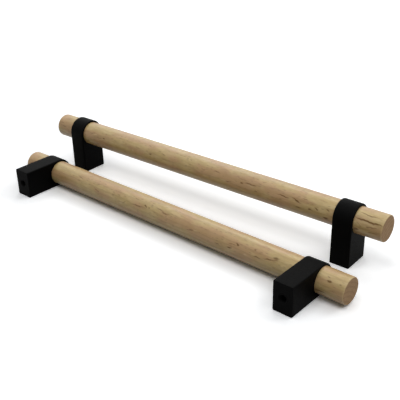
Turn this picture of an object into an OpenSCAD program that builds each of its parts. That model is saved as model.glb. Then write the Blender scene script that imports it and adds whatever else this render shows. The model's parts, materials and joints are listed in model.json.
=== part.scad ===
// A pair of through-bar cabinet handles. One stands upright on its two posts, and the other lies on
// its side in front of it, so that the screw holes in its posts show. Each handle is a round wooden
// bar that slides through two D-shaped cast metal posts. A grub screw in each post holds the bar.
//
// Millimetres, +Z up, +X along the upright handle's bar. The origin lies on the surface that the
// handles stand on, midway between the upright handle's two screw holes.

/* [Handle] */
// Distance between the two screw holes of one handle
hole_spacing = 192; // [96:32:224]
// Height of the bar's axis above the posts' mounting faces
axis_h = 24.8; // [20:0.2:35]

/* [Bar] */
// Diameter of the wooden bar
bar_d = 14; // [10:0.5:20]
// How far the bar runs past the centre of each post
bar_overhang = 20; // [12:1:40]
// How far the bar sits to one side of the middle of its posts
bar_shift = 0.7; // [-2:0.1:2]
// Radius of the eased edge round each end of the bar
bar_edge_r = 0.6; // [0.2:0.1:1.5]

/* [Posts] */
// Thickness of a post along the bar
post_t = 11; // [8:0.5:16]
// Wall of a post round the bar
post_wall = 1.15; // [0.8:0.05:3]
// Radius of the soft edges between a post's faces
post_edge_r = 0.6; // [0.2:0.1:0.8]
// Gap all round between the bar and the bore of a post
bar_clearance = 0.05; // [0.02:0.01:0.1]

/* [Screw holes] */
// Diameter of the threaded hole for the screw that comes through the door or drawer front
screw_d = 4; // [3.5:0.5:6]
// Width of the chamfer round the mouth of that hole
screw_mouth = 0.4; // [0.1:0.1:0.6]
// Angle of the drill point that the hole's inner end keeps
drill_point = 118; // [90:2:140]

/* [Grub screws] */
// Diameter of a grub screw's thread
grub_d = 3; // [2:0.5:3]
// Length of a grub screw
grub_l = 5; // [3:1:6]
// Width of a grub screw's hexagon socket across its flats
grub_socket = 1.5; // [0.9:0.1:1.5]
// Depth of that socket
grub_socket_depth = 1.6; // [0.8:0.1:2]
// Width of the cone round a grub screw's point
grub_point = 0.45; // [0.2:0.05:0.6]
// Room between the end of the screw thread and a grub screw
grub_spare = 1; // [0.6:0.05:2]
// Gap all round between a grub screw and its thread
thread_clearance = 0.04; // [0.02:0.01:0.08]
// Gap between a grub screw's point and the bar
point_gap = 0.05; // [0.02:0.01:0.1]

/* [Layout of the pair] */
// Clear space between the upright handle's posts and the caps of the lying handle
pair_gap = 15.6; // [12:0.2:40]
// How far the lying handle's middle lies to the right of the upright handle's middle
lying_x = 0.8; // [-20:0.2:20]
// Angle that the lying handle is turned by on the surface
lying_turn = -1.6; // [-3:0.2:3]

/* [Hidden] */
bore_d = bar_d + 2 * bar_clearance;
post_w = bore_d + 2 * post_wall;
edge_r = min(post_edge_r, 0.7 * post_wall);
bar_l = hole_spacing + 2 * bar_overhang;

// The fine thread ends at the bore, and the screw's own thread starts below the grub screw
bore_floor = axis_h - bore_d / 2;
screw_depth = bore_floor - grub_l - grub_spare;
drill_cone = (screw_d - grub_d) / 2 / tan(drill_point / 2);
grub_tip = axis_h - bar_d / 2 - point_gap;
grub_r = grub_d / 2 - thread_clearance;

// Cutters run this far past the faces that they open
past = 1;

LEFT = -1;
RIGHT = 1;

$fn = 96;

// ---- places ----

// Moves a piece to its post, left or right of the handle's middle
module at_post(side) {
    translate([side * hole_spacing / 2, 0, 0]) children();
}

// Lays a whole handle on its side, with its mounting faces to the front
module lay_down() {
    translate([lying_x, -(post_w + pair_gap), post_w / 2])
        rotate([0, 0, lying_turn])
            rotate([-90, 0, 0])
                translate([0, 0, -axis_h])
                    children();
}

// Turns a solid that was revolved about Z so that its axis lies along the bar
module along_bar() {
    translate([0, 0, axis_h]) rotate([90, 0, 90]) children();
}

// ---- outlines ----

// A bar of radius r and height h seen from the side, with its outer corners rounded
module revolved_outline(r, h, corner) {
    translate([0, -h / 2]) square([r - corner, h]);
    translate([0, corner - h / 2]) square([r, h - 2 * corner]);
    for (end = [-1, 1])
        translate([r - corner, end * (h / 2 - corner)]) circle(r = corner);
}

// A rectangle with rounded corners, about the origin
module rounded_rectangle(x, y, corner) {
    square([x - 2 * corner, y], center = true);
    square([x, y - 2 * corner], center = true);
    for (sx = [-1, 1], sy = [-1, 1])
        translate([sx * (x / 2 - corner), sy * (y / 2 - corner)]) circle(r = corner);
}

// The stepped hole up from the base: chamfered mouth, screw thread, drill point, grub screw's thread
module screw_hole_outline() {
    polygon([
        [0, -past],
        [screw_d / 2 + screw_mouth + past, -past],
        [screw_d / 2, screw_mouth],
        [screw_d / 2, screw_depth],
        [grub_d / 2, screw_depth + drill_cone],
        [grub_d / 2, axis_h],
        [0, axis_h],
    ]);
}

// ---- pieces of one handle, bar along X, mounting faces at the bottom ----

// Turned wooden bar with eased ends
module bar() {
    color("#C3A67C")
        translate([bar_shift, 0, 0])
            along_bar()
                rotate_extrude() revolved_outline(bar_d / 2, bar_l, bar_edge_r);
}

// Cast post: a straight shank, a half-round cap over the bar, the bar's bore and the screw hole
module post() {
    color("#18191A")
        difference() {
            union() {
                linear_extrude(axis_h) rounded_rectangle(post_t, post_w, edge_r);
                along_bar()
                    rotate_extrude(angle = 180) revolved_outline(post_w / 2, post_t, edge_r);
            }
            along_bar() cylinder(d = bore_d, h = post_t + 2 * past, center = true);
            rotate_extrude() screw_hole_outline();
        }
}

// Grub screw with a coned point against the bar and its hexagon socket facing the base
module grub_screw() {
    color("#303234")
        translate([0, 0, grub_tip - grub_l])
            difference() {
                union() {
                    cylinder(r = grub_r, h = grub_l - grub_point);
                    translate([0, 0, grub_l - grub_point])
                        cylinder(r1 = grub_r, r2 = grub_r - grub_point, h = grub_point);
                }
                translate([0, 0, -past])
                    cylinder(d = grub_socket / cos(30), h = grub_socket_depth + past, $fn = 6);
            }
}

// ---- the upright handle ----

module upright_bar() bar();
module upright_left_post() at_post(LEFT) post();
module upright_right_post() at_post(RIGHT) post();
module upright_left_grub_screw() at_post(LEFT) grub_screw();
module upright_right_grub_screw() at_post(RIGHT) grub_screw();

// ---- the lying handle ----

module lying_bar() lay_down() bar();
module lying_left_post() lay_down() at_post(LEFT) post();
module lying_right_post() lay_down() at_post(RIGHT) post();
module lying_left_grub_screw() lay_down() at_post(LEFT) grub_screw();
module lying_right_grub_screw() lay_down() at_post(RIGHT) grub_screw();

upright_bar();
upright_left_post();
upright_right_post();
upright_left_grub_screw();
upright_right_grub_screw();
lying_bar();
lying_left_post();
lying_right_post();
lying_left_grub_screw();
lying_right_grub_screw();
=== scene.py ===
"""The looks of a pair of through-bar cabinet handles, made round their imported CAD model.

Each handle is a turned beech bar that slides through two cast and powder-coated posts, with a grub
screw in each post that holds the bar. One handle stands upright, and the other lies on its side in
front of it. A handle is shaped in its own frame, in millimetres: X along the bar, Z up from the
mounting faces, and the origin midway between its two screw holes. A matrix that comes from the
record's mounts then puts its points in their place, in metres.
"""
import json
import math

import bmesh
import bpy
import numpy as np
from mathutils import Matrix, Vector


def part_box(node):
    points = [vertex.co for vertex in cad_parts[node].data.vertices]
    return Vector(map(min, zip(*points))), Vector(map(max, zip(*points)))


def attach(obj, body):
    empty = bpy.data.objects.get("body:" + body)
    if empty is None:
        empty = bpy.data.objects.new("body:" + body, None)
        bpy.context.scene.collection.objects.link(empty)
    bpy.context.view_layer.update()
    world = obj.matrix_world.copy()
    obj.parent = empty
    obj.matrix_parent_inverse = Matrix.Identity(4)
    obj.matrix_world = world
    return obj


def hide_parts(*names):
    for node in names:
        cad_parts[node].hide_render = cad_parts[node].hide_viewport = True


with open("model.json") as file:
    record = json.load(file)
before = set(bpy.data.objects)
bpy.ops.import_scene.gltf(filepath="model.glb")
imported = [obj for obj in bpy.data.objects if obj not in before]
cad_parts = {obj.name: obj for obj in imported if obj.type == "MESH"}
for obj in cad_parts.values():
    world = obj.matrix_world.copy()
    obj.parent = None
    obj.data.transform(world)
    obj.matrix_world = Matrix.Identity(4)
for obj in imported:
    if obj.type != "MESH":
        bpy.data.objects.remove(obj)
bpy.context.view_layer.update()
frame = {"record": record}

# ---- sizes from the frame, in millimetres ----

MM = 0.001
HANDLES = ("upright", "lying")
SIDES = {"left": -1, "right": 1}
mounts = {mount["name"]: mount for mount in frame["record"]["mounts"]}


def box_mm(node):
    """Lowest and highest corner of a CAD node, in millimetres."""
    low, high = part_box(node)
    return np.array(low) / MM, np.array(high) / MM


bar_low, bar_high = box_mm("upright_bar")
post_low, post_high = box_mm("upright_left_post")
grub_low, grub_high = box_mm("upright_left_grub_screw")

HOLE_SPACING = mounts["upright_screw_centres"]["dims"]["spacing_x_mm"]
BAR_R = round(bar_high[2] - bar_low[2], 1) / 2
BAR_L = bar_high[0] - bar_low[0]
BAR_SHIFT = (bar_high[0] + bar_low[0]) / 2
AXIS_H = (bar_high[2] + bar_low[2]) / 2
POST_T = post_high[0] - post_low[0]
POST_R = (post_high[1] - post_low[1]) / 2
SCREW_R = mounts["upright_left_screw_hole"]["dims"]["r_mm"]
SCREW_THREAD = mounts["upright_left_screw_hole"]["dims"]["length_mm"]
GRUB_R = (grub_high[0] - grub_low[0]) / 2
GRUB_BASE, GRUB_TIP = grub_low[2], grub_high[2]

# ---- small sizes that the frame's boxes don't give, in millimetres ----

BAR_EDGE = 0.6
BAR_CLEARANCE = 0.05
POST_EDGE = 0.6
FOOT_EDGE = 0.15
BORE_EDGE = 0.2
SCREW_MOUTH = 0.4
SCREW_PITCH = 0.7
DRILL_ANGLE = math.radians(118 / 2)
GRUB_HOLE_R = 1.5
GRUB_HOLE_LIP = 0.1  # plain wall between the fine thread and the bore
GRUB_PITCH = 0.5
GRUB_ROOT_R = 1.19
GRUB_CONE = 0.45
GRUB_BEVEL = 0.1
SOCKET_FLATS = 1.5
SOCKET_DEPTH = 1.6
SOCKET_CHAMFER = 0.12
SOCKET_RIM = 0.04  # how far the chamfer reaches past the hexagon's corners
SOCKET_POINT = 0.35  # depth of the drilled cone in the socket's floor
THREAD_SHARE = 0.5413  # depth of an ISO thread's engagement, as a share of its pitch

BORE_R = BAR_R + BAR_CLEARANCE
SCREW_DEPTH = SCREW_MOUTH + SCREW_THREAD

# ---- meshes ----

WELD = 1e-7  # metres: points closer than this are one corner
CREASE = math.radians(32)


def handle_place(handle):
    """The matrix from a handle's own frame in millimetres to the row frame in metres.

    X runs from the left screw hole to the right one, Z points into the mounting faces, and the origin
    is the middle of the two holes, moved along Z onto the plane of the faces.
    """
    left = mounts[f"{handle}_left_screw_hole"]
    right = mounts[f"{handle}_right_screw_hole"]
    up = -Vector(left["axis"]).normalized()
    middle = (Vector(left["pos_m"]) + Vector(right["pos_m"])) / 2
    along = Vector(right["pos_m"]) - Vector(left["pos_m"])
    along = (along - along.dot(up) * up).normalized()
    face = Vector(mounts[f"{handle}_left_face"]["pos_m"])
    origin = middle + (face - middle).dot(up) * up
    axes = Matrix((along, up.cross(along), up)).transposed().to_4x4()
    return Matrix.Translation(origin) @ axes @ Matrix.Scale(MM, 4)


def grid_faces(rows, columns, first):
    """The four corner numbers of each face between neighbouring points of a grid."""
    corner = first + np.arange(rows * columns).reshape(rows, columns)
    around = (corner[:-1, :-1], corner[:-1, 1:], corner[1:, 1:], corner[1:, :-1])
    return np.stack(around, axis=-1).reshape(-1, 4)


def solid(name, grids, place):
    """One closed mesh from grids of points whose edges meet, each an array of rows, columns and XYZ."""
    firsts = np.cumsum([0] + [grid.shape[0] * grid.shape[1] for grid in grids])
    points = np.concatenate([grid.reshape(-1, 3) for grid in grids])
    faces = [grid_faces(*grid.shape[:2], first) for grid, first in zip(grids, firsts)]
    matrix = np.array(place)
    points = points @ matrix[:3, :3].T + matrix[:3, 3]
    mesh = bpy.data.meshes.new(name)
    mesh.from_pydata(points.tolist(), [], np.concatenate(faces).tolist())
    shape = bmesh.new()
    shape.from_mesh(mesh)
    bmesh.ops.remove_doubles(shape, verts=shape.verts, dist=WELD)
    bmesh.ops.dissolve_degenerate(shape, dist=WELD, edges=shape.edges)
    bmesh.ops.recalc_face_normals(shape, faces=shape.faces)
    shape.to_mesh(mesh)
    shape.free()
    mesh.shade_smooth()
    mesh.set_sharp_from_angle(angle=CREASE)
    piece = bpy.data.objects.new(name, mesh)
    bpy.context.scene.collection.objects.link(piece)
    return piece


def between(start, end, shares):
    """The rows between two rows of points: each share of the way from start to end."""
    shares = np.asarray(shares, float)[:, None, None]
    return start[None] * (1 - shares) + end[None] * shares


def corner_arc(radius, first, last, count):
    """Points on an arc: radius times cosine and sine, from the first angle in degrees to the last."""
    angle = np.radians(np.linspace(first, last, count + 1))
    return radius * np.cos(angle), radius * np.sin(angle)


def turned(profile, columns):
    """A surface of revolution: each point (distance from the axis, place on it) goes round X.

    The row of a point is (place, distance times cosine, distance times sine), at the bar's height.
    """
    angle = np.linspace(0, 2 * np.pi, columns + 1)
    distance, along = profile[:, 0, None], profile[:, 1, None]
    points = (along + 0 * angle, distance * np.cos(angle), distance * np.sin(angle) + AXIS_H)
    return np.stack(points, axis=-1)


def circle(radius, height, angle):
    """Points on a level circle about Z, one for each angle."""
    return np.stack((radius * np.cos(angle), radius * np.sin(angle), height + 0 * angle), axis=-1)


# ---- the turned bar ----

# Faces round the bar, along its side, over an eased edge and across an end
BAR_COLUMNS = 144
BAR_STEPS = 460
BAR_EDGE_STEPS = 8
BAR_END_STEPS = 9

# Flecks in each bar: mm along it from the middle of the holes, degrees round it from the side that
# faces -Y, length and width in mm, slant in degrees, and depth of colour, below 0 for a pale one
BEECH_FLECKS = {
    "upright": (
        (-113, 38, 5, 0.6, 6, 0.6),
        (-109, 20, 5, 0.7, -8, 0.7),
        (-106, 8, 4, 0.6, 5, 0.4),
        (-82, 34, 8, 0.7, 8, 0.45),
        (-81, 28, 6, 1.0, 6, -0.5),
        (-77, 18, 8, 0.6, 5, 0.5),
        (-72, 20, 2.6, 1.0, 4, 0.85),
        (-74, 7, 7, 0.6, 9, 0.4),
        (-60, 47, 9, 0.7, 3, 0.25),
        (-53, 29, 4, 0.7, 3, 0.3),
        (-47.5, 12, 1.2, 2.6, 0, -0.5),
        (-44, 31, 5, 0.6, 3, 0.5),
        (-36, 58, 3, 0.9, 0, 0.45),
        (-35, 17, 8, 0.6, 8, 0.45),
        (-32.5, 20, 2.2, 1.3, 0, 0.75),
        (-24, 38, 4, 0.9, -8, 0.5),
        (-22, 14, 10, 0.7, 4, 0.3),
        (-13, 62, 7, 0.6, 2, 0.25),
        (-3, 54, 2.4, 1.0, -8, 0.45),
        (-1, 20, 10, 0.7, 3, 0.3),
        (7, 30, 5, 0.7, 6, 0.45),
        (16, 37, 7, 0.8, 0, 0.6),
        (22, 13, 8, 0.8, 5, -0.4),
        (25.5, 12, 4, 0.7, 20, 0.6),
        (33.5, 25, 2.6, 1.0, -3, 0.9),
        (34, 41, 12, 0.6, -3, 0.4),
        (39.5, 31, 9, 0.7, 3, 0.8),
        (41, 23, 9, 0.8, -4, -0.45),
        (43, 9, 3, 1.0, 0, 0.55),
        (47, 58, 4, 0.7, 3, 0.45),
        (52, 44, 9, 0.6, 5, 0.3),
        (60.5, 26, 9, 0.8, -4, 0.9),
        (60, 11, 7, 0.8, 8, 0.35),
        (68.5, 26, 7, 0.8, -12, 0.95),
        (73, 43, 4, 0.9, 4, 0.55),
        (70, -1, 3.5, 0.8, 12, 0.7),
        (77, 7, 1.8, 1.6, 0, 0.85),
        (81, 15, 3, 1.0, -28, 0.95),
        (83, 57, 8, 0.6, -6, 0.35),
        (87, 26, 3, 1.0, -14, 0.7),
        (86.5, -9, 3, 1.7, 10, 0.8),
        (109, 34, 20, 1.0, -2, 1.0),
        (109, 25, 16, 1.6, -4, -0.5),
        (104, 14, 4, 0.6, -30, 0.5),
        (103, -12, 2.6, 1.3, 0, 0.85),
        (112, -8, 6, 0.8, 8, 0.6),
        (111, 14, 7, 0.8, 14, 0.6),
        (108, 60, 12, 0.8, -3, 0.7),
    ),
    "lying": (
        (-110, 26, 5, 1.4, 0, 0.8),
        (-84, 60, 7, 0.7, -5, 0.35),
        (-74, 35, 8, 0.7, 5, 0.3),
        (-65, 53, 5, 0.7, -8, 0.65),
        (-65, 46, 4, 1.4, 0, -0.35),
        (-60, 36, 6, 0.7, 8, -0.5),
        (-49, 52, 4, 0.6, 10, 0.5),
        (-50, 25, 5, 0.6, -12, 0.7),
        (-48, 22, 3, 0.9, 0, 0.6),
        (-36, 46, 3, 0.6, 0, 0.5),
        (-36, 34, 3, 0.6, 0, 0.5),
        (-31, 42, 2.4, 1.6, 0, 0.4),
        (-29, 9, 8, 0.8, 16, -0.6),
        (-27, 20, 6, 0.6, 14, 0.6),
        (-18, 58, 5, 0.8, 4, 0.5),
        (-16, 29, 14, 0.6, 7, 0.7),
        (-10, 43, 2.4, 1.5, 0, 0.9),
        (-7, 40, 2.2, 1.2, 20, 0.6),
        (1, 50, 7, 0.8, -6, 0.6),
        (5, 44, 7, 1.2, 3, 0.6),
        (16, 62, 9, 0.6, -3, 0.3),
        (24, 19, 6, 0.8, 6, 0.6),
        (28, 25, 4, 0.8, 10, -0.5),
        (33, 47, 8, 0.6, 2, 0.3),
        (42, 9, 3.5, 0.8, 8, 0.7),
        (47, 72, 5, 0.6, 0, 0.35),
        (50.5, 13, 2.6, 1.1, 4, 0.9),
        (52, 31, 6, 0.6, 12, 0.55),
        (55, 40, 2.6, 1.5, 0, 0.85),
        (61, 9, 3, 0.8, 5, -0.6),
        (66, 43, 1.8, 1.2, 0, 0.6),
        (68, 19, 6, 0.7, 8, 0.75),
        (75, 31, 12, 0.7, 12, 0.75),
        (78.5, 43, 5, 1.6, 0, 0.7),
        (107, 57, 3, 0.8, 0, 0.65),
        (108.5, 41, 2.6, 1.6, 10, 1.0),
        (104, -12, 8, 1.2, 4, 0.75),
        (114, 42, 2, 1.0, 0, 0.5),
        (111, 8, 7, 0.6, 3, 0.4),
    ),
}

# How the flecks' outlines sway along the bar and round it: mm, radians for each mm along the bar, and
# radians for each mm round it
FLECK_SWAY_ALONG = ((0.5, 0.5, 2.3), (0.3, 0, 5.1))
FLECK_SWAY_ROUND = ((0.16, 0.9, 0.7), (0.12, 0.37, 0), (0.07, 2.9, 0))
FLECK_HEART = 0.25  # share of a fleck's half size that has its full depth
FLECK_FADE = 0.33  # how softly it fades outside its heart


def bar_mesh(name, place):
    """A round bar: end face, quarter-circle edge, side, and the same again at the other end."""
    cosine, sine = corner_arc(1, 90, 0, BAR_EDGE_STEPS)
    end = BAR_L / 2
    flat = np.linspace(0, BAR_R - BAR_EDGE, BAR_END_STEPS + 1)[:-1]
    flat = np.stack((flat, -end + 0 * flat), axis=-1)
    edge = np.stack((BAR_R - BAR_EDGE + BAR_EDGE * cosine, -end + BAR_EDGE * (1 - sine)), axis=-1)
    left = np.concatenate((flat, edge))
    right = left[::-1] * (1, -1)
    side = np.linspace(-end + BAR_EDGE, end - BAR_EDGE, BAR_STEPS + 1)[1:-1]
    side = np.stack((BAR_R + 0 * side, side), axis=-1)
    surface = turned(np.concatenate((left, side, right)), BAR_COLUMNS)
    surface[..., 0] += BAR_SHIFT
    return solid(name, [surface], place)


def paint_flecks(piece, flecks, middle, turn):
    """Stores the flecks on a bar's points: 1 at the heart of a dark one, -1 of a pale one, 0 on clear wood.

    A fleck is an ellipse on the bar's unrolled surface that fades away as a bell curve past its heart.
    The unrolled places first sway by a few sines, so that a fleck's outline is uneven.
    """
    points = np.zeros(3 * len(piece.data.vertices))
    piece.data.vertices.foreach_get("co", points)
    points = (points.reshape(-1, 3) - np.array(middle)) / MM
    x = points[:, 0] * math.cos(turn) + points[:, 1] * math.sin(turn)
    y = points[:, 1] * math.cos(turn) - points[:, 0] * math.sin(turn)
    arc = BAR_R * np.arctan2(points[:, 2], -y)
    swayed_x, swayed_arc = x, arc
    for size, by_x, by_arc in FLECK_SWAY_ALONG:
        swayed_x = swayed_x + size * np.sin(by_x * x + by_arc * arc)
    for size, by_x, by_arc in FLECK_SWAY_ROUND:
        swayed_arc = swayed_arc + size * np.sin(by_x * x + by_arc * arc)
    depths = np.zeros(len(x))
    for along, degrees, length, width, slant, depth in flecks:
        across, slant = math.radians(degrees) * BAR_R, math.radians(slant)
        right, up = swayed_x - (along - BAR_SHIFT), swayed_arc - across
        lengthwise = (right * math.cos(slant) + up * math.sin(slant)) / (length / 2)
        crosswise = (up * math.cos(slant) - right * math.sin(slant)) / (width / 2)
        outside = np.maximum(np.hypot(lengthwise, crosswise) - FLECK_HEART, 0)
        fleck = depth * np.exp(-outside**2 / FLECK_FADE)
        depths = np.where(np.abs(fleck) > np.abs(depths), fleck, depths)
    layer = piece.data.attributes.new("flecks", "FLOAT", "POINT")
    layer.data.foreach_set("value", depths)


# ---- the cast post ----

FACE_COLUMNS = 32  # faces across a post's flat front
PATCH_COLUMNS = 24  # those of them that line up with the bore's patch round the grub screw's hole

# Steps over a post's round edges, over the edge of its foot, through its thickness, up its shank, up
# the straight sides of its faces, over its cap, and from the patch's sides in to the hole
EDGE_STEPS = 5
FOOT_STEPS = 3
SIDE_STEPS = 6
SHANK_STEPS = 6
RISE_STEPS = 10
CAP_STEPS = 56
PATCH_STEPS = 6

HOLE_COLUMNS = 2 * FACE_COLUMNS + 2 * SIDE_STEPS + 4 * EDGE_STEPS
JOIN_H = 14.0  # height at which the shank's rings meet the faces round the bore
PATCH_X = 3.2  # half the length of the patch round the grub screw's hole, along the bore

# The angles of the points round a hole, as many as a ring of the shank has, from near its first point
HOLE_ANGLES = math.radians(-48) + np.linspace(0, 2 * np.pi, HOLE_COLUMNS + 1)

# Where the rows between a hole and the outline round it lie, as shares of the way
FACE_SHARES = (0, 0.03, 0.12, 0.3, 0.5, 0.7, 0.88, 0.97, 1)

# The rows of one pitch of thread, from 0 at the wall to 1 at the crest. A grub screw's ridges lie in
# the grooves of the hole's own thread.
HOLE_FORM = (0, 0, 0, 0.5, 1, 1, 1, 0.5)
GRUB_FORM = (1, 1, 1, 0.5, 0, 0, 0, 0.5)


def ring(x_size, y_size, corner, height):
    """Points round a level rectangle with round corners, from the foot of its +X side and back to it."""
    x, y = x_size / 2, y_size / 2
    across = np.linspace(-(y - corner), y - corner, FACE_COLUMNS + 1)[:-1]
    through = np.linspace(x - corner, -(x - corner), SIDE_STEPS + 1)[:-1]
    cosine, sine = corner_arc(corner, 0, 90, EDGE_STEPS)
    first = np.stack((x + 0 * across, across), axis=-1)
    bend = np.stack((x - corner + cosine, y - corner + sine), axis=-1)[:-1]
    side = np.stack((through, y + 0 * through), axis=-1)
    next_bend = np.stack((-(x - corner) - sine, y - corner + cosine), axis=-1)[:-1]
    half = np.concatenate((first, bend, side, next_bend))
    loop = np.concatenate((half, -half, half[:1]))
    return np.concatenate((loop, np.full((len(loop), 1), height)), axis=-1)


def face_outline(inset):
    """Points round the upper part of the D, in from its rim by inset, as Y and Z.

    The outline runs along the joint with the shank, up the right side, over the cap's half circle
    about the bar, and down the left side.
    """
    radius = POST_R - inset
    foot = np.linspace(-(POST_R - POST_EDGE), POST_R - POST_EDGE, FACE_COLUMNS + 1)[:-1]
    rise = np.linspace(JOIN_H, AXIS_H, RISE_STEPS + 1)[:-1]
    arc = np.radians(np.linspace(0, 180, CAP_STEPS + 1))
    right = np.stack((radius + 0 * rise, rise), axis=-1)
    cap = np.stack((radius * np.cos(arc), AXIS_H + radius * np.sin(arc)), axis=-1)
    left = np.stack((-radius + 0 * rise, rise), axis=-1)[::-1]
    foot = np.stack((foot, JOIN_H + 0 * foot), axis=-1)
    return np.concatenate((foot, right, cap, left))


def upright_points(outline, x):
    """An outline of Y and Z, stood up at one place along the bar."""
    return np.concatenate((np.full((len(outline), 1), x), outline), axis=-1)


def thread(angle, low, high, wall, crest, pitch, form):
    """The wall of a screw thread: each row climbs by one pitch in a turn, and the rows follow the form.

    The radius goes from the wall's to the crest's and back over the form's rows. The form fades to the
    plain wall within half a pitch of either end, where the rows are cut off level.
    """
    form = np.array(form)
    first = math.floor((low / pitch - 1) * len(form)) - 1
    last = math.ceil(high / pitch * len(form)) + 1
    row = np.arange(first, last + 1)
    turns = (angle - angle[0]) / (2 * np.pi)
    height = pitch * (row[:, None] / len(form) + turns[None])
    height = np.clip(height, low, high)
    fade = np.clip((height - low) / (pitch / 2), 0, 1) * np.clip((high - height) / (pitch / 2), 0, 1)
    radius = wall + (crest - wall) * form[row % len(form)][:, None] * fade
    return np.stack((radius * np.cos(angle), radius * np.sin(angle), height), axis=-1)


def at_post(grids, side):
    """Moves grids along the bar to their post, left or right of the handle's middle."""
    return [grid + (side * HOLE_SPACING / 2, 0, 0) for grid in grids]


def screw_hole():
    """The stepped hole from the base to the bore: chamfer, screw thread, drill point, fine thread.

    It gives the hole's grids, the ring round its mouth, and the rim where it opens into the bore: there
    the height is the bar's, less the root of the bore's radius squared minus the place across squared.
    """
    angle = HOLE_ANGLES
    step = (SCREW_R - GRUB_HOLE_R) / math.tan(DRILL_ANGLE)
    screw_crest = SCREW_R - THREAD_SHARE * SCREW_PITCH
    grub_crest = GRUB_HOLE_R - THREAD_SHARE * GRUB_PITCH
    fine_low = SCREW_DEPTH + step
    fine_high = AXIS_H - BORE_R - GRUB_HOLE_LIP
    y = GRUB_HOLE_R * np.sin(angle)
    rim = np.stack((GRUB_HOLE_R * np.cos(angle), y, AXIS_H - np.sqrt(BORE_R**2 - y**2)), axis=-1)
    mouth = circle(SCREW_R + SCREW_MOUTH, 0, angle)
    lip = circle(SCREW_R, SCREW_MOUTH, angle)
    step_foot = circle(SCREW_R, SCREW_DEPTH, angle)
    step_top = circle(GRUB_HOLE_R, fine_low, angle)
    throat = circle(GRUB_HOLE_R, fine_high, angle)
    grids = [
        between(mouth, lip, (0, 1)),
        thread(angle, SCREW_MOUTH, SCREW_DEPTH, SCREW_R, screw_crest, SCREW_PITCH, HOLE_FORM),
        between(step_foot, step_top, (0, 1)),
        thread(angle, fine_low, fine_high, GRUB_HOLE_R, grub_crest, GRUB_PITCH, HOLE_FORM),
        between(throat, rim, (0, 1)),
    ]
    return grids, mouth, rim


def bore_wall(outline, rim):
    """The bore's wall, with a round opening for the grub screw in the middle of its underside.

    A point is (place along the bar, radius times cosine, radius times sine), at the bar's height. Round
    the opening, both the place and the angle run evenly from a square patch's sides to the opening.
    """
    around = np.unwrap(np.arctan2(outline[:, 1] - AXIS_H, outline[:, 0]))
    near = (FACE_COLUMNS - PATCH_COLUMNS) // 2
    half = POST_T / 2 - BORE_EDGE

    def wall(x, angle):
        """The points of the bore at places along the bar and angles round it."""
        x, angle = np.broadcast_arrays(x, angle)
        return np.stack((x, BORE_R * np.cos(angle), AXIS_H + BORE_R * np.sin(angle)), axis=-1)

    inner = np.linspace(PATCH_X, -PATCH_X, PATCH_COLUMNS + 1)
    rows = np.concatenate(([half], inner, [-half]))[:, None]
    patch = around[near:near + PATCH_COLUMNS + 1]
    rest = np.concatenate((around[near + PATCH_COLUMNS:], around[:near + 1] + 2 * np.pi))
    grids = [wall(rows, rest[None]), wall(rows[:2], patch[None]), wall(rows[-2:], patch[None])]

    # the patch's sides, in the order of the hole's points
    side_x = np.concatenate((PATCH_X + 0 * patch[:-1], inner[:-1], -PATCH_X + 0 * patch[:-1], inner[::-1]))
    side_angle = (patch[:-1], patch[-1] + 0 * inner[:-1], patch[:0:-1], patch[0] + 0 * inner)
    side_angle = np.concatenate(side_angle)
    rim_angle = np.arctan2(rim[:, 2] - AXIS_H, rim[:, 1])
    rim_angle = rim_angle + 2 * np.pi * np.round((side_angle - rim_angle) / (2 * np.pi))
    shares = np.linspace(0, 1, PATCH_STEPS + 1)[:, None]
    x = side_x * (1 - shares) + rim[:, 0] * shares
    grids.append(wall(x, side_angle * (1 - shares) + rim_angle * shares))
    return grids


def post_mesh(name, side, place):
    """A post: rings of a rounded rectangle up the shank, then faces, rim and bore of the D above them."""
    width = 2 * POST_R
    grids, mouth, rim = screw_hole()

    # base and shank
    across, drop = corner_arc(FOOT_EDGE, 90, 0, FOOT_STEPS)
    foot = [
        ring(POST_T - 2 * inset, width - 2 * inset, POST_EDGE - inset, FOOT_EDGE - down)
        for inset, down in zip(FOOT_EDGE - across, drop)
    ]
    heights = np.linspace(FOOT_EDGE, JOIN_H, SHANK_STEPS + 1)[1:]
    shank = [ring(POST_T, width, POST_EDGE, height) for height in heights]
    grids.append(np.stack(foot + shank))
    grids.append(between(mouth, foot[0], FACE_SHARES))

    # the two faces, from the bore's edge to where the rim's round edge starts
    outline = face_outline(POST_EDGE)
    outward = outline - (0, AXIS_H)
    outward = outward / np.linalg.norm(outward, axis=1, keepdims=True)
    bore = outward * BORE_R + (0, AXIS_H)
    bore_rim = outward * (BORE_R + BORE_EDGE) + (0, AXIS_H)
    closed = [np.concatenate((line, line[:1])) for line in (outline, bore_rim, bore)]
    for facing in (1, -1):
        face, edge, hole = (upright_points(line, facing * POST_T / 2) for line in closed)
        hole[:, 0] -= facing * BORE_EDGE
        grids.append(between(edge, face, FACE_SHARES))
        grids.append(between(hole, edge, (0, 1)))

    # the rim: round edge, flat or half-round width, round edge
    out, back = corner_arc(POST_EDGE, 0, 90, EDGE_STEPS)
    insets = np.concatenate((POST_EDGE - back, np.zeros(SIDE_STEPS - 1), POST_EDGE - back[::-1]))
    flat = np.linspace(POST_T / 2 - POST_EDGE, POST_EDGE - POST_T / 2, SIDE_STEPS + 1)[1:-1]
    places = np.concatenate((POST_T / 2 - POST_EDGE + out, flat, POST_EDGE - POST_T / 2 - out[::-1]))
    rows = [upright_points(face_outline(inset)[FACE_COLUMNS:], x) for inset, x in zip(insets, places)]
    rows = [np.concatenate((row, [[row[-1, 0], row[-1, 1], JOIN_H]])) for row in rows]
    grids.append(np.stack(rows))

    grids += bore_wall(outline, rim)
    return solid(name, at_post(grids, side), place)


# ---- the grub screw ----

SOCKET_STEPS = 4


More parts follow.
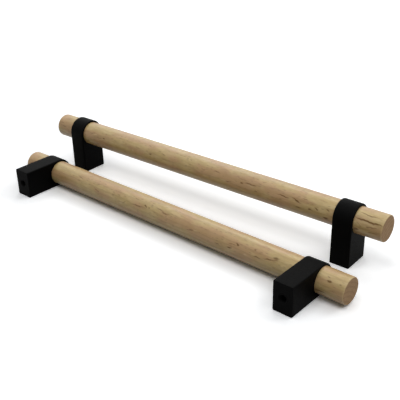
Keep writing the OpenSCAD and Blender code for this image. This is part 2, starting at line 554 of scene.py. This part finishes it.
def grub_mesh(name, side, place):
    """A grub screw: socket floor, hexagon socket, end face, thread and coned point.

    The hexagon's radius is half its flats over the cosine of the angle from the middle of a side.
    """
    angle = HOLE_ANGLES
    low, high = GRUB_BASE + GRUB_BEVEL, GRUB_TIP - GRUB_CONE
    sixth = np.pi / 3
    reach = SOCKET_FLATS / 2 / np.cos((angle - angle[0]) % sixth - sixth / 2)
    hexagon = circle(reach, GRUB_BASE, angle)
    inner = hexagon + (0, 0, SOCKET_CHAMFER)
    bottom = hexagon + (0, 0, SOCKET_DEPTH)
    mouth = circle(SOCKET_FLATS / 2 / math.cos(sixth / 2) + SOCKET_RIM, GRUB_BASE, angle)
    centre = circle(0, GRUB_BASE + SOCKET_DEPTH + SOCKET_POINT, angle)
    end = circle(GRUB_ROOT_R - GRUB_BEVEL, GRUB_BASE, angle)
    shoulder = circle(GRUB_ROOT_R, low, angle)
    neck = circle(GRUB_ROOT_R, high, angle)
    tip = circle(GRUB_R - GRUB_CONE, GRUB_TIP, angle)
    grids = [
        between(centre, bottom, (0, 1)),
        between(bottom, inner, np.linspace(0, 1, SOCKET_STEPS + 1)),
        between(inner, mouth, (0, 1)),
        between(mouth, end, (0, 1)),
        between(end, shoulder, (0, 1)),
        thread(angle, low, high, GRUB_ROOT_R, GRUB_R, GRUB_PITCH, GRUB_FORM),
        between(neck, tip, (0, 1)),
        between(tip, circle(0, GRUB_TIP, angle), (0, 0.5, 1)),
    ]
    return solid(name, at_post(grids, side), place)


# ---- materials ----


def srgb(hex_colour):
    """A colour written as sRGB hex, in linear red, green and blue with alpha 1."""
    parts = [int(hex_colour[start:start + 2], 16) / 255 for start in (1, 3, 5)]
    linear = [part / 12.92 if part <= 0.04045 else ((part + 0.055) / 1.055) ** 2.4 for part in parts]
    return (*linear, 1)


def new_tree(name):
    """A material with nothing in it, and its node tree."""
    material = bpy.data.materials.new(name)
    material.use_nodes = True
    material.node_tree.nodes.clear()
    return material, material.node_tree


def add(tree, kind, sockets=(), **settings):
    """Adds a node with its settings. sockets gives each input a value, or the output that feeds it.

    A Map Range has its value at 0, the range that it comes from at 1 and 2, and the one that it goes to
    at 3 and 4. A Mix of colours has its share at 0, its colours at 6 and 7, and its result at 2.
    """
    node = tree.nodes.new(kind)
    for name, value in settings.items():
        setattr(node, name, value)
    for socket, value in dict(sockets).items():
        if isinstance(value, bpy.types.Node):
            value = value.outputs[0]
        if isinstance(value, bpy.types.NodeSocket):
            tree.links.new(value, node.inputs[socket])
        else:
            node.inputs[socket].default_value = value
    return node


# Metres
PEEL_SIZE, PEEL_DEPTH = 0.9 * MM, 0.02 * MM
OXIDE_GRAIN = 0.4 * MM


def black_powder_coat():
    """Cast zinc under a matt black powder coat: almost no colour, a broad dull gloss, fine orange peel."""
    material, tree = new_tree("black_powder_coat")
    position = add(tree, "ShaderNodeTexCoord").outputs["Object"]
    peel = add(tree, "ShaderNodeTexNoise", {"Vector": position, "Scale": 1 / PEEL_SIZE, "Detail": 2.0})
    gloss = add(tree, "ShaderNodeMapRange", {0: peel, 1: 0.3, 2: 0.7, 3: 0.45, 4: 0.57})
    bump = add(tree, "ShaderNodeBump", {"Strength": 0.25, "Distance": PEEL_DEPTH, "Height": peel})
    shader = add(tree, "ShaderNodeBsdfPrincipled", {
        "Base Color": srgb("#020202"), "Roughness": gloss, "Normal": bump,
        "Specular IOR Level": 0.034,
    })
    add(tree, "ShaderNodeOutputMaterial", {"Surface": shader})
    return material


def black_oxide():
    """Hardened steel in black oxide: a dark metal with a soft gloss."""
    material, tree = new_tree("black_oxide")
    position = add(tree, "ShaderNodeTexCoord").outputs["Object"]
    grain = add(tree, "ShaderNodeTexNoise", {"Vector": position, "Scale": 1 / OXIDE_GRAIN, "Detail": 3.0})
    gloss = add(tree, "ShaderNodeMapRange", {0: grain, 1: 0.3, 2: 0.7, 3: 0.3, 4: 0.48})
    shader = add(tree, "ShaderNodeBsdfPrincipled", {
        "Base Color": srgb("#2B2C2F"), "Metallic": 1.0, "Roughness": gloss,
    })
    add(tree, "ShaderNodeOutputMaterial", {"Surface": shader})
    return material


# In millimetres, but for the shares. The pith's place is Y and Z from the bar's axis.
BEECH_PITH = {"upright": (6.0, -15.0), "lying": (-8.0, -13.0)}
RING_WIDTH = 2.3
RING_SWAY = 3.2  # how far the rings are out of round
RING_TAPER = 0.012  # how far they widen, as a share of the way along the bar
GRAIN_WAVE = (1.5, 3.4, 3.4)  # how far the grain sways along the bar and across it
GRAIN_DEPTH = 0.03
RAY_CELL = (3.0, 0.8, 0.8)

# How far in from a bar's end the painted highlight on its eased edge starts and is full, and the same
# for the colour of the sawn end grain
EDGE_HIGHLIGHT_START, EDGE_HIGHLIGHT_FULL = BAR_EDGE + 0.3, BAR_EDGE - 0.1
END_GRAIN_START, END_GRAIN_FULL = 0.12, 0.05

LACQUER_WEIGHT = 0.65  # share of the lacquer on clear wood


def blotches(tree, vector, along, across, detail):
    """Noise in blotches of so many millimetres along the bar and across it."""
    scale = (1 / along, 1 / across, 1 / across)
    size = add(tree, "ShaderNodeMapping", {"Vector": vector, "Scale": scale})
    return add(tree, "ShaderNodeTexNoise", {"Vector": size, "Scale": 1.0, "Detail": detail})


def smooth_masks(tree, spans):
    """A mask from each value: it goes smoothly from 0, at the first number, to 1 at the second."""
    masks = {}
    for name, (value, zero, one) in spans.items():
        sockets = {0: value, 1: zero, 2: one}
        masks[name] = add(tree, "ShaderNodeMapRange", sockets, interpolation_type="SMOOTHSTEP")
    return masks


def layered(tree, base, layers):
    """A base colour under layers, each a mask, how much of the layer shows, and its colour."""
    colour = srgb(base)
    for mask, share, tint in layers:
        amount = add(tree, "ShaderNodeMath", {0: mask, 1: share}, operation="MULTIPLY")
        sockets = {0: amount, 6: colour, 7: srgb(tint)}
        colour = add(tree, "ShaderNodeMix", sockets, data_type="RGBA").outputs[2]
    return colour


def late_wood_mask(tree, bar, x, pith):
    """The dark late wood of the growth rings, which darkens over a ring's second half and ends with it.

    The place in a ring is the fraction that is left of the distance from the pith over the rings' width.
    Noise draws that distance a little out of round, and it grows along the bar.
    """
    sockets = {0: bar, 1: (0, 1, 1), 2: (0, -pith[0], -pith[1])}
    from_pith = add(tree, "ShaderNodeVectorMath", sockets, operation="MULTIPLY_ADD")
    reach = add(tree, "ShaderNodeVectorMath", {0: from_pith}, operation="LENGTH").outputs["Value"]
    for shift, share in ((blotches(tree, bar, 26, 7, 3.0), RING_SWAY), (x, RING_TAPER)):
        reach = add(tree, "ShaderNodeMath", {0: shift, 1: share, 2: reach}, operation="MULTIPLY_ADD")
    rings = add(tree, "ShaderNodeMath", {0: reach, 1: RING_WIDTH}, operation="DIVIDE")
    place = add(tree, "ShaderNodeMath", {0: rings}, operation="FRACT")
    masks = smooth_masks(tree, {"darkening": (place, 0.45, 0.93), "end": (place, 1.0, 0.95)})
    return add(tree, "ShaderNodeMath", {0: masks["darkening"], 1: masks["end"]}, operation="MULTIPLY")


def ray_mask(tree, bar):
    """Short rays at the hearts of cells, in about one cell of three, drawn coarse enough to show."""
    scale = [1 / size for size in RAY_CELL]
    cells = add(tree, "ShaderNodeMapping", {"Vector": bar, "Scale": scale})
    cells = add(tree, "ShaderNodeTexVoronoi", {"Vector": cells, "Scale": 1.0, "Randomness": 1.0})
    chance = add(tree, "ShaderNodeSeparateXYZ", {0: cells.outputs["Color"]})
    spans = {"heart": (cells.outputs["Distance"], 0.42, 0.18), "chosen": (chance, 0.66, 0.72)}
    masks = smooth_masks(tree, spans)
    return add(tree, "ShaderNodeMath", {0: masks["heart"], 1: masks["chosen"]}, operation="MULTIPLY")


def beech(handle, middle, turn):
    """Steamed beech, turned, sanded and given a clear matt lacquer.

    The eye gets a warm tan with long soft streaks, thin growth rings that show as arcs on the sawn
    ends, short dark rays, a few larger dark flecks, and a broad pale sheen where light glances off.
    """
    material, tree = new_tree(f"{handle}_lacquered_beech")
    position = add(tree, "ShaderNodeTexCoord").outputs["Object"]
    bar = add(tree, "ShaderNodeMapping", {
        "Vector": position, "Location": middle, "Rotation": (0, 0, turn), "Scale": (MM, MM, MM),
    }, vector_type="TEXTURE")
    x = add(tree, "ShaderNodeSeparateXYZ", {0: bar}).outputs["X"]
    to_middle = add(tree, "ShaderNodeMath", {0: x}, operation="ABSOLUTE")
    late_wood = late_wood_mask(tree, bar, x, BEECH_PITH[handle])
    rays = ray_mask(tree, bar)

    # grain that waves by a millimetre or so, and fibres along it, drawn coarser than the real ones so
    # that they show
    wave = blotches(tree, bar, 9, 5, 1.0).outputs["Color"]
    grain = add(tree, "ShaderNodeVectorMath", {0: wave, 1: GRAIN_WAVE, 2: bar}, operation="MULTIPLY_ADD")
    fibres = blotches(tree, grain, 5, 0.3, 2.0)

    # larger flecks, kept on the bar's own points, with edges that the fibres fray
    flecks = add(tree, "ShaderNodeAttribute", attribute_name="flecks").outputs["Fac"]
    frayed = add(tree, "ShaderNodeMath", {0: fibres, 1: 0.3, 2: flecks}, operation="MULTIPLY_ADD")

    masks = smooth_masks(tree, {
        "streaks": (blotches(tree, grain, 10, 1.6, 5.0), 0.34, 0.68),
        "blush": (blotches(tree, bar, 22, 7, 2.0), 0.42, 0.6),
        "patches": (blotches(tree, grain, 7, 2.6, 3.0), 0.38, 0.66),
        "fibres": (fibres, 0.35, 0.65),
        "dark": (frayed, 0.35, 1.0),
        "stain": (flecks, 0.02, 0.4),
        "pale": (flecks, -0.05, -0.6),
        # painted highlight: the eased edge at each end made paler, as if it caught the light
        "eased": (to_middle, BAR_L / 2 - EDGE_HIGHLIGHT_START, BAR_L / 2 - EDGE_HIGHLIGHT_FULL),
        "sawn": (to_middle, BAR_L / 2 - END_GRAIN_START, BAR_L / 2 - END_GRAIN_FULL),
        "pores": (blotches(tree, bar, 8, 0.5, 2.0), 0.4, 0.62),
    })
    dark, sawn = masks["dark"], masks["sawn"]
    side_colour = layered(tree, "#CAB27C", (
        (masks["streaks"], 1.0, "#BDA36A"),
        (masks["blush"], 0.65, "#BC926C"),
        (masks["patches"], 0.3, "#A5864E"),
        (late_wood, 0.2, "#7D5A30"),
        (masks["fibres"], 0.1, "#7A5B34"),
        (rays, 0.3, "#6A4B2A"),
        (masks["pale"], 0.6, "#D3BC8C"),
        (masks["stain"], 0.35, "#7A5220"),
        (dark, 0.75, "#593912"),
        # painted highlight along the eased edges at the bar's ends
        (masks["eased"], 0.22, "#D3BC8C"),
    ))
    end_colour = layered(tree, "#AB8A65", (
        (masks["pores"], 0.5, "#937350"),
        (late_wood, 0.25, "#60452A"),
    ))
    sockets = {0: sawn, 6: side_colour, 7: end_colour}
    colour = add(tree, "ShaderNodeMix", sockets, data_type="RGBA").outputs[2]

    # the dark flecks and the rays lie a little deeper than the fibres
    relief = fibres
    for hollow, share in ((dark, -1.5), (rays, -0.5)):
        relief = add(tree, "ShaderNodeMath", {0: hollow, 1: share, 2: relief}, operation="MULTIPLY_ADD")
    bump = add(tree, "ShaderNodeBump", {"Strength": 0.35, "Distance": GRAIN_DEPTH * MM, "Height": relief})

    # the dark flecks and the sawn ends soak up the lacquer, and the sawn ends are duller too
    soaked = add(tree, "ShaderNodeMath", {0: dark, 1: 0.85}, operation="MULTIPLY")
    bare = add(tree, "ShaderNodeMath", {0: sawn, 1: soaked}, operation="MAXIMUM")
    sockets = {0: bare, 1: -LACQUER_WEIGHT, 2: LACQUER_WEIGHT}
    lacquer = add(tree, "ShaderNodeMath", sockets, operation="MULTIPLY_ADD")
    sockets = {0: blotches(tree, bar, 6, 2, 2.0), 1: 0.3, 2: 0.7, 3: 0.38, 4: 0.46}
    gloss = add(tree, "ShaderNodeMapRange", sockets, interpolation_type="SMOOTHSTEP")
    gloss = add(tree, "ShaderNodeMath", {0: sawn, 1: 0.25, 2: gloss}, operation="MULTIPLY_ADD")
    shader = add(tree, "ShaderNodeBsdfPrincipled", {
        "Base Color": colour, "Roughness": gloss, "Normal": bump, "IOR": 1.5,
        "Specular IOR Level": 0.25,
        "Coat Weight": lacquer, "Coat Roughness": 0.38, "Coat IOR": 1.5,
    })
    add(tree, "ShaderNodeOutputMaterial", {"Surface": shader})
    return material


# ---- the pieces ----


def bar_middle(handle):
    """The middle of a handle's bar, in metres."""
    low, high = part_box(f"{handle}_bar")
    return (low + high) / 2


def handle_turn(handle):
    """The angle that a lying handle is turned by on the floor, and 0 for one that stands upright."""
    out = mounts[f"{handle}_left_screw_hole"]["axis"]
    return math.atan2(out[0], -out[1]) if out[2] == 0 else 0.0


def dress(piece, node, material):
    """Gives a finished piece its material, and puts it in the place of its CAD node."""
    piece.data.materials.append(material)
    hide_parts(node)
    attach(piece, node)


powder_coat = black_powder_coat()
oxide = black_oxide()
for handle in HANDLES:
    place = handle_place(handle)
    middle = bar_middle(handle)
    turn = handle_turn(handle)
    bar = bar_mesh(f"{handle}_turned_bar", place)
    paint_flecks(bar, BEECH_FLECKS[handle], middle, turn)
    dress(bar, f"{handle}_bar", beech(handle, middle, turn))
    for side, sign in SIDES.items():
        post = post_mesh(f"{handle}_{side}_cast_post", sign, place)
        dress(post, f"{handle}_{side}_post", powder_coat)
        grub = grub_mesh(f"{handle}_{side}_threaded_grub_screw", sign, place)
        dress(grub, f"{handle}_{side}_grub_screw", oxide)

# ---- floor, light and camera, in metres and degrees ----

FLOOR_R = 6.0
FLOOR_H = -0.00002  # just below the mounting faces, so that no two faces lie in one plane
FLOOR_COLUMNS = 96
FLOOR_TONE = (1.28, 1.295, 1.31, 1)  # for the camera, as linear colour
GLOW_NEAR, GLOW_FAR = 0.1, 0.8  # distances from the origin between which the floor comes to glow
GLOW_LEAST, GLOW_MOST = 0.02, 1.0

LAMP_DISTANCE = 0.9
LAMP_SIZE = 0.42
LAMPS = (
    ("front", 70, 0, 0.26),
    ("back", 68, 180, 0.08),
    ("back_low", 45, 180, 0.05),
    ("back_right", 45, 135, 0.15),
    ("back_left", 45, 225, 0.13),
    ("right", 45, 90, 0.12),
    ("left", 50, 270, 0.06),
    ("front_right", 50, 45, 0.075),
    ("front_left", 45, 315, 0.02),
)
DOME_LEVEL = 0.01

CAMERA_PLACE = (0.2421, -0.2896, 0.1997)
CAMERA_TURN = 40.02
CAMERA_TILT = 62.62
CAMERA_ROLL = -1.48
LENS_MM = 65.25
SENSOR_MM = 36
CLIP_START = 0.01


def pale_floor():
    """A matt studio floor that lights the part as pale grey and looks white round the part's shadows.

    For the camera it is a little brighter than white, so that only real shadow shows, and it glows
    further out, where the lamps fall off. In a reflection it is nearly white.
    """
    material, tree = new_tree("pale_floor")
    ray = add(tree, "ShaderNodeLightPath").outputs
    sockets = {0: ray["Is Camera Ray"], 6: srgb("#F4F4F4"), 7: FLOOR_TONE}
    tone = add(tree, "ShaderNodeMix", sockets, data_type="RGBA").outputs[2]
    position = add(tree, "ShaderNodeTexCoord").outputs["Object"]
    distance = add(tree, "ShaderNodeVectorMath", {0: position}, operation="LENGTH").outputs["Value"]
    sockets = {0: distance, 1: GLOW_NEAR, 2: GLOW_FAR, 3: GLOW_LEAST, 4: GLOW_MOST}
    glow = add(tree, "ShaderNodeMapRange", sockets, interpolation_type="SMOOTHSTEP")
    glow = add(tree, "ShaderNodeMath", {0: glow, 1: ray["Is Camera Ray"]}, operation="MULTIPLY")
    glow = add(tree, "ShaderNodeEmission", {"Color": srgb("#FFFFFF"), "Strength": glow})
    seen = add(tree, "ShaderNodeBsdfDiffuse", {"Color": tone})
    seen = add(tree, "ShaderNodeAddShader", {0: seen, 1: glow})
    unseen = add(tree, "ShaderNodeBsdfDiffuse", {"Color": srgb("#B8B8B8")})
    sockets = {0: ray["Is Camera Ray"], 1: ray["Is Glossy Ray"]}
    share = add(tree, "ShaderNodeMath", sockets, operation="MAXIMUM")
    surface = add(tree, "ShaderNodeMixShader", {0: share, 1: unseen, 2: seen})
    add(tree, "ShaderNodeOutputMaterial", {"Surface": surface})
    return material


def lay_floor(scene):
    """A round floor about the origin."""
    angle = np.linspace(0, 2 * np.pi, FLOOR_COLUMNS + 1)[:-1]
    disc = bpy.data.meshes.new("floor")
    disc.from_pydata(circle(FLOOR_R, FLOOR_H, angle).tolist(), [], [list(range(FLOOR_COLUMNS))])
    disc.materials.append(pale_floor())
    floor = bpy.data.objects.new("floor", disc)
    scene.collection.objects.link(floor)


def hang_lamp(scene, name, height, turn, level):
    """A square lamp aimed at the origin from so many degrees above the floor and round from the front.

    level is the brightness that the lamp alone gives a white floor at the origin. A lamp's power for it
    is the level times pi squared and the distance squared, over the sine of its height.
    """
    height, turn = math.radians(height), math.radians(turn)
    out = Vector((math.cos(height) * math.sin(turn), -math.cos(height) * math.cos(turn), math.sin(height)))
    data = bpy.data.lights.new(name, "AREA")
    data.shape = "SQUARE"
    data.size = LAMP_SIZE
    data.energy = level * math.pi**2 * LAMP_DISTANCE**2 / out.z
    lamp = bpy.data.objects.new(name, data)
    lamp.location = out * LAMP_DISTANCE
    lamp.rotation_euler = out.to_track_quat("Z", "Y").to_euler()
    scene.collection.objects.link(lamp)


def studio_world():
    """White where the camera looks, or a reflection or clear material does, and a faint glow as light."""
    world = bpy.data.worlds.new("studio")
    world.use_nodes = True
    tree = world.node_tree
    tree.nodes.clear()
    ray = add(tree, "ShaderNodeLightPath").outputs
    seen = ray["Is Camera Ray"]
    for other in ("Is Glossy Ray", "Is Transmission Ray"):
        seen = add(tree, "ShaderNodeMath", {0: seen, 1: ray[other]}, operation="MAXIMUM")
    dome = add(tree, "ShaderNodeBackground", {"Color": srgb("#FFFFFF"), "Strength": DOME_LEVEL})
    backdrop = add(tree, "ShaderNodeBackground", {"Color": srgb("#FFFFFF"), "Strength": 1.0})
    surface = add(tree, "ShaderNodeMixShader", {0: seen, 1: dome, 2: backdrop})
    add(tree, "ShaderNodeOutputWorld", {"Surface": surface})
    return world


def set_camera(scene):
    """The camera: it looks straight down, and is rolled, tilted up and turned about the vertical."""
    data = bpy.data.cameras.new("camera")
    data.lens = LENS_MM
    data.sensor_width = SENSOR_MM
    data.clip_start = CLIP_START
    camera = bpy.data.objects.new("camera", data)
    turn = Matrix.Rotation(math.radians(CAMERA_TURN), 4, "Z")
    tilt = Matrix.Rotation(math.radians(CAMERA_TILT), 4, "X")
    roll = Matrix.Rotation(math.radians(CAMERA_ROLL), 4, "Z")
    camera.matrix_world = Matrix.Translation(CAMERA_PLACE) @ turn @ tilt @ roll
    scene.collection.objects.link(camera)
    scene.camera = camera


scene = bpy.context.scene
scene.view_settings.view_transform = "Standard"
lay_floor(scene)
for lamp in LAMPS:
    hang_lamp(scene, *lamp)
scene.world = studio_world()
set_camera(scene)
